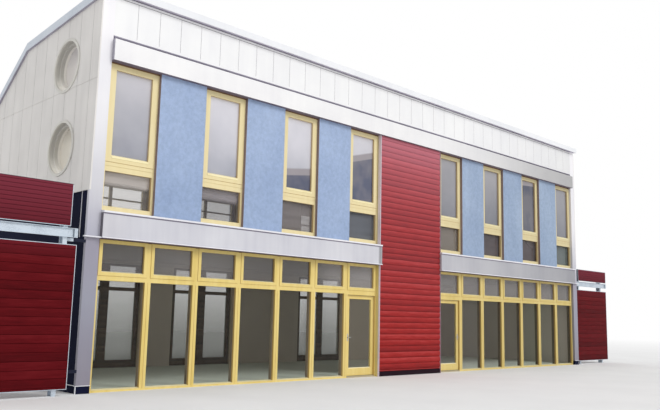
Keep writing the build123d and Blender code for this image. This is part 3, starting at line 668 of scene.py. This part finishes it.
def boards(lo, hi, pitch, bow):
    """Rows of boards over the whole of a CAD box, one pitch from the ground up"""
    lowest = 0.02                                  # a lower rest of a row is left out
    thick = min(0.03, hi.y - lo.y - 0.004)         # with a backing behind
    parts = []
    k = math.floor(lo.z / pitch)
    while k * pitch < hi.z - lowest:
        a, b = max(lo.z, k * pitch), min(hi.z, (k + 1) * pitch)
        if b - a > lowest:
            parts.append(run_x(board_section(lo.y, a, b, thick, bow), lo.x, hi.x))
        k += 1
    back = [(lo.y + thick, lo.z), (lo.y + thick, hi.z), (hi.y, hi.z), (hi.y, lo.z)]
    parts.append(run_x(back, lo.x, hi.x))
    return parts


def islands(obj):
    """Boxes of the loose solids in a node, as (low, high)"""
    me = obj.data
    parent = list(range(len(me.vertices)))

    def find(i):
        while parent[i] != i:
            parent[i] = parent[parent[i]]
            i = parent[i]
        return i
    seen = {}
    for v in me.vertices:
        key = tuple(round(c, 5) for c in v.co)
        if key in seen:
            parent[find(v.index)] = find(seen[key])
        seen[key] = v.index
    for e in me.edges:
        parent[find(e.vertices[0])] = find(e.vertices[1])
    groups = {}
    for v in me.vertices:
        groups.setdefault(find(v.index), []).append(v.co)
    out = []
    for cos in groups.values():
        lo = Vector(min(c[i] for c in cos) for i in range(3))
        hi = Vector(max(c[i] for c in cos) for i in range(3))
        out.append((lo, hi))
    return sorted(out, key=lambda b: tuple(b[0]))


def add_boards(M):
    """Red boards of the bay, and of the screens with smaller ones at the top"""
    lo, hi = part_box("red_cladding")
    piece("red_bay_boards", boards(lo, hi, BOARD, 0.012), M["red_boards"],
          replaces=("red_cladding",))
    parts = []
    for lo, hi in islands(NODES["screen_boards"]):
        parts += boards(lo, hi, SMALL_BOARD if lo.z > 3.0 else BOARD, 0.002)
    piece("screen_board_rows", parts, M["screen_red"], replaces=("screen_boards",))


def add_roof_seams(M):
    """Standing seams up both slopes"""
    same = 0.001
    parts = []
    for name in ("upper_roof", "rear_roof"):
        points = [v.co for v in NODES[name].data.vertices]
        lo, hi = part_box(name)
        near = max(p.z for p in points if abs(p.y - lo.y) < same)
        far = max(p.z for p in points if abs(p.y - hi.y) < same)
        section = [(lo.y, near), (hi.y, far), (hi.y, far + SEAM_H), (lo.y, near + SEAM_H)]
        for i in range(1, SEAM_STEPS):
            x = lo.x + (hi.x - lo.x) * i / SEAM_STEPS
            parts.append(run_x(section, x - SEAM_HALF, x + SEAM_HALF))
    piece("roof_seams", parts, M["roof_metal"])


# Thin strips where the real one is shaded or has a joint
def add_soffits(M):
    """Painted shade on the undersides of the fascia, coping, drips and verges, and in the gap over
    the fascia
    """
    t, clear, edge = SOFFIT, 0.002, 0.01
    inner = FACE - clear
    past = HALF_LENGTH + COPING_PAST
    # grey is painted shade under the coping, gap painted shade in the fascia gap and under the
    # verges, brown painted shade under the fascia and drips
    grey = [bar(-past, past, FACE - COPING_OUT + COPING_LIP, inner,
                COPING_SOFFIT - t, COPING_SOFFIT)]
    gap = [bar(-HALF_FRONT, HALF_FRONT, FACE - edge, inner, FASCIA_Z1, ATTIC_Z0),
           bar(-HALF_FRONT, HALF_FRONT, FACE - PANEL_OUT - STRIP, inner,
               ATTIC_Z0 - t, ATTIC_Z0 + edge)]
    brown = [bar(-HALF_FRONT, HALF_FRONT, FACE - BAND_OUT + clear, inner,
                 FASCIA_Z0 - t, FASCIA_Z0)]
    line = [(y + FACE, z) for y, z in ROOF_LINE]
    for s in (-1, 1):
        brown.append(bar(s * RED_HALF, s * HALF_FRONT, FACE - SILL_OUT + clear, inner,
                         BAND_Z0 - t, BAND_Z0))
        x0, x1 = sorted((s * HALF_LENGTH, s * (HALF_LENGTH + VERGE_W)))
        gap += [slope_bar(x0, x1, a, b, VERGE_DROP, t) for a, b in zip(line, line[1:])]
    piece("coping_soffit_shading", grey, M["coping_soffit_shade"])
    piece("soffit_gaps", gap, M["gap_shade"])
    piece("soffit_shading_brown", brown, M["soffit_shade_brown"])


def add_shaded_edges(M):
    """Painted shade on the sides of the panels, the ends of the bands and fascia, and the strips
    under the sills and heads
    """
    t, clear = STRIP, 0.001
    sill, drip, lip, shop_head, sash_top = 0.07, 0.021, 0.026, 0.022, 0.006
    panel, band = FACE - PANEL_OUT, FACE - BAND_OUT
    # pale holds the painted shade on the ends of the fascia
    sides, ends, pale, lips, heads = [], [], [], [], []
    for s in (-1, 1):
        for i in range(1, BAYS, 2):
            for x, d in ((HALF_CENTRE + i * BAY, -t), (HALF_CENTRE + (i + 1) * BAY, t)):
                sides.append(bar(s * x, s * (x + d), panel + clear, FACE,
                                 BAND_TOP + sill, FASCIA_Z0))
        x = s * HALF_FRONT
        ends.append(bar(x, x + s * t, band + clear, panel, BAND_Z0 + drip, BAND_TOP))
        pale.append(bar(x, x + s * t, band + clear, panel, FASCIA_Z0, FASCIA_Z1))
        lips.append(bar(s * RED_HALF, x, band - t, band, BAND_TOP - lip, BAND_TOP))
        heads.append(bar(s * HALF_CENTRE, x, FACE - t, FACE, BAND_Z0 - shop_head, BAND_Z0))
        for i in range(0, BAYS, 2):
            a, b = HALF_CENTRE + i * BAY, HALF_CENTRE + (i + 1) * BAY
            heads.append(bar(s * a, s * b, FACE - SASH_OUT - t, FACE,
                             CASEMENT_Z1 + sash_top, FASCIA_Z0))
    piece("panel_sides", sides, M["panel_side_shade"])
    piece("band_ends", ends, M["band_end_shade"])
    piece("fascia_ends", pale, M["fascia_end_shade"])
    piece("sill_shades", lips, M["lip_shade"])
    piece("head_strips", heads, M["head_shade"])


def roof_z(y):
    """Height of the roof this far behind the frames"""
    for (ya, za), (yb, zb) in zip(ROOF_LINE, ROOF_LINE[1:]):
        if y <= yb:
            return za + (zb - za) * (y - ya) / (yb - ya)


def beside_windows(j):
    """Levels between which a joint in the end cladding runs clear of the round windows"""
    levels = [GABLE_Z0]
    if abs(j - ROUND_Y) < RING_R:
        h = math.sqrt(RING_R ** 2 - (j - ROUND_Y) ** 2)
        for z in ROUND_Z:
            levels += [z - h, z + h]
    levels.append(roof_z(j) - ROOF_T)
    return zip(levels[0::2], levels[1::2])


def add_panel_joints(M):
    """Dark bottoms of the grooves in the attic and end cladding, and a painted shade line under the
    attic's top rail
    """
    half, (shallow, deep), rail_shade = GROOVE_HALF, GROOVE_IN, 0.010
    y = FACE - PANEL_OUT
    z1 = ATTIC_Z1 - ATTIC_RAIL
    parts = [bar(-HALF_FRONT, HALF_FRONT, y - STRIP, y, z1 - rail_shade, z1)]
    for k in range(1, ATTIC_PANELS):
        x = -HALF_FRONT + 2 * HALF_FRONT * k / ATTIC_PANELS
        parts.append(bar(x - half, x + half, y + shallow, y + deep, ATTIC_Z0 + ATTIC_FOOT, z1))
    piece("panel_joints", parts, M["joint"])
    parts = []
    for s in (-1, 1):
        xa, xb = s * (HALF_LENGTH - deep), s * (HALF_LENGTH - shallow)
        for k in range(GABLE_JOINTS):
            j = JOINT_Y + JOINT_PITCH * k
            for a, b in beside_windows(j):
                parts.append(bar(xa, xb, FACE + j - half, FACE + j + half, a, b))
    piece("gable_joints", parts, M["groove"])


def outline(x0, x1, z0, z1, w, y):
    """Four thin strips just outside a sash"""
    a, b = y - STRIP, y
    return [bar(x0 - w, x0, a, b, z0 - w, z1 + w), bar(x1, x1 + w, a, b, z0 - w, z1 + w),
            bar(x0, x1, a, b, z0 - w, z0), bar(x0, x1, a, b, z1, z1 + w)]


def bead(x0, x1, z, front, back, rise=BEAD_RISE):
    """Sloping bead along the foot of a pane"""
    return run_x([(front, z), (back, z), (back, z + rise)], min(x0, x1), max(x0, x1))


def weather_bead(x0, x1, z, face, glass):
    """Deep sloping bead that laps down over the bottom rail of a casement"""
    out, lap, nose, clear = 0.008, 0.05, 0.012, 0.001
    front, back = face - out, face + clear
    return run_x([(front, z - lap), (back, z - lap), (back, z - clear), (glass, z - clear),
                  (glass, z + SASH_BEAD_RISE), (front, z - nose)], x0, x1)


def add_glazing_lines(M):
    """Joints between the frames and the sloping beads of every pane in the front"""
    joints, beads = [], []
    w, lap, casement_top = JOINT_W, SASH_LAP, CASEMENT_Z1 - 0.02
    sash_face, sash_glass, glass = FACE - SASH_OUT, FACE + SASH_GLASS_IN, FACE + GLASS_IN
    for s in (-1, 1):
        for i in range(BAYS):
            a, b = HALF_CENTRE + i * BAY, HALF_CENTRE + (i + 1) * BAY
            x0, x1 = sorted((s * (a + MULLION / 2), s * (b - MULLION / 2)))
            joints += outline(x0 - lap, x1 + lap, TRANSOM_Z1 - lap, TOPLIGHT_Z1 + lap, w, FACE)
            beads.append(bead(x0 + SASH, x1 - SASH, TRANSOM_Z1 + SASH, sash_face, sash_glass,
                              SASH_BEAD_RISE))
            if i:
                beads.append(bead(x0, x1, SILL, FACE, glass))
                x = s * a
                joints.append(bar(x - w / 2, x + w / 2, FACE - STRIP, FACE, SILL, TRANSOM_Z0))
            if i % 2 == 0:
                x0, x1 = sorted((s * (a + WIN_FRAME), s * (b - WIN_FRAME)))
                joints += outline(x0 - lap, x1 + lap, CASEMENT_Z0 - lap, casement_top, w, FACE)
                beads.append(weather_bead(x0 + WIN_SASH, x1 - WIN_SASH, CASEMENT_Z0 + WIN_SASH,
                                          sash_face, sash_glass))
                beads.append(bead(x0, x1, LOW_LIGHT_Z0, FACE, glass))
    piece("frame_joints", joints, M["gold_joint"])
    piece("glazing_beads", beads, M["bead"])
    front = FACE + LEAF_IN
    for s, side in ((-1, "left"), (1, "right")):
        x0 = s * (HALF_CENTRE + JAMB + DOOR_GAP + LEAF_STILE)
        x1 = s * (HALF_CENTRE + BAY - MULLION / 2 - DOOR_GAP - LEAF_STILE)
        one = bead(x0, x1, LEAF_GLASS_Z, front, front + LEAF_GLASS_IN)
        piece(side + "_door_bead", [one], M["bead"], "door_" + side)


def add_rear_bars(M):
    """Glazing bar across each light of the rear windows"""
    near, far = REAR_BAR_X
    parts = []
    for c in REAR_CENTRES:
        for a, b in ((c - far, c - near), (c + near, c + far)):
            parts.append(bar(a, b, *REAR_BAR_Y, *REAR_BAR_Z))
    piece("rear_window_bars", parts, M["yellow_paint"])


def add_flashings(M):
    """Light metal lines: over the plinths, across the piers, down the dark ends, along the rear"""
    pier, rear, dark = FACE - PANEL_OUT, FACE + DEPTH, HALF_LENGTH - SKIN_T
    low, near, far = PLINTH_LINE[0], FACE + END_LINE_Y[0], FACE + END_LINE_Y[1]
    lines = (
        # over the plinth of a pier, and down its corner
        (HALF_FRONT, HALF_LENGTH + PIER_PLINTH_OUT, pier - PIER_PLINTH_OUT, FACE, *PLINTH_LINE),
        (HALF_LENGTH - 0.002, HALF_LENGTH + 0.008, pier - 0.004, pier + 0.03, 0, low),
        # down a dark end, and along its foot
        (dark, dark + END_LINE_OUT, near, far, SHOP_TOP, GABLE_Z0),
        (dark, dark + END_PLINTH_OUT, FACE + 0.01, rear, *PLINTH_LINE),
        # across a pier, in line with the drips
        (HALF_FRONT, HALF_LENGTH + DRIP_LINE_PAST, FACE - DRIP_LINE_OUT, pier, *DRIP_LINE),
    )
    parts = [bar(s * x0, s * x1, *rest) for s in (-1, 1) for x0, x1, *rest in lines]
    parts.append(bar(-HALF_FRONT, HALF_FRONT, rear, rear + REAR_LINE_OUT, *REAR_LINE))
    for c in REAR_CENTRES:
        parts.append(bar(c - REAR_SILL_HALF, c + REAR_SILL_HALF, rear, rear + REAR_SILL_OUT,
                         *REAR_SILL_Z))
    piece("flashing_lines", parts, M["flashing"])


# Dressing of the CAD nodes
def dress(M):
    """Own material for every node, and flat faces"""
    slots = {p["node"]: p["material_slot"] for p in frame["record"]["subparts"]}
    for name, obj in NODES.items():
        mat = M[SPECIAL.get(name, slots[name])]
        obj.data.materials.clear()
        obj.data.materials.append(mat.m)
        for p in obj.data.polygons:
            p.use_smooth = False


# Camera, light and stage
def camera():
    """The photograph's viewpoint"""
    cam = bpy.data.cameras.new("camera")
    cam.lens = LENS
    cam.sensor_width = SENSOR
    cam.clip_end = CAMERA_REACH
    o = bpy.data.objects.new("camera", cam)
    o.location = CAMERA_AT
    o.rotation_euler = CAMERA_TURN
    bpy.context.scene.collection.objects.link(o)
    bpy.context.scene.camera = o


def seen_directly(tree):
    """1 for rays that show a surface straight, in a mirror or through glass"""
    path = tree.nodes.new("ShaderNodeLightPath")
    value = path.outputs["Is Camera Ray"]
    for other in ("Is Glossy Ray", "Is Transmission Ray"):
        n = tree.nodes.new("ShaderNodeMath")
        n.operation = "MAXIMUM"
        tree.links.new(value, n.inputs[0])
        tree.links.new(path.outputs[other], n.inputs[1])
        value = n.outputs[0]
    return value


def lights():
    """Soft sun, and a white world that lights the object less brightly than it shows"""
    sun = bpy.data.lights.new("sun", "SUN")
    sun.energy = SUN_LEVEL
    sun.angle = math.radians(SUN_SPREAD)
    o = bpy.data.objects.new("sun", sun)
    o.rotation_euler = (math.radians(SUN_TILT), 0, math.radians(SUN_TURN))
    bpy.context.scene.collection.objects.link(o)
    world = bpy.data.worlds.new("studio")
    world.use_nodes = True
    t = world.node_tree
    bg = t.nodes["Background"]
    level = t.nodes.new("ShaderNodeMapRange")
    t.links.new(seen_directly(t), level.inputs[0])
    level.inputs[3].default_value = WORLD_LIGHT
    level.inputs[4].default_value = WORLD_SHOWN
    t.links.new(level.outputs[0], bg.inputs["Strength"])
    bg.inputs["Color"].default_value = (1, 1, 1, 1)
    bpy.context.scene.world = world


def floor():
    """Pale round floor that shows white far out"""
    turns = [2 * math.pi * i / FLOOR_SIDES for i in range(FLOOR_SIDES)]
    verts = [(FLOOR_R * math.cos(a), FLOOR_R * math.sin(a), 0) for a in turns]
    me = bpy.data.meshes.new("floor")
    me.from_pydata(verts, [], [tuple(range(FLOOR_SIDES))])
    o = bpy.data.objects.new("floor", me)
    bpy.context.scene.collection.objects.link(o)
    m = Mat("floor", 0.9)
    patches = m.remap(m.noise(0.6, 3.0), 0.3, 0.7)
    m.color(m.mix(patches, (0.80, 0.80, 0.80, 1), (0.84, 0.84, 0.84, 1)))
    glow = m.add("ShaderNodeEmission")
    glow.inputs["Strength"].default_value = WORLD_SHOWN
    blend = m.add("ShaderNodeMixShader")
    length = m.add("ShaderNodeVectorMath", operation="LENGTH")
    m.put(length.inputs[0], m.pos)
    far = m.remap(length.outputs["Value"], *FLOOR_FADE)
    m.put(blend.inputs[0], m.math("MULTIPLY", far, seen_directly(m.t)))
    m.put(blend.inputs[1], m.b.outputs[0])
    m.put(blend.inputs[2], glow.outputs[0])
    m.put(m.t.nodes["Material Output"].inputs["Surface"], blend.outputs[0])
    me.materials.append(m.m)


bpy.context.scene.view_settings.view_transform = "Standard"
M = make_materials()
dress(M)
add_boards(M)
add_roof_seams(M)
add_soffits(M)
add_shaded_edges(M)
add_panel_joints(M)
add_glazing_lines(M)
add_rear_bars(M)
add_flashings(M)
camera()
lights()
floor()
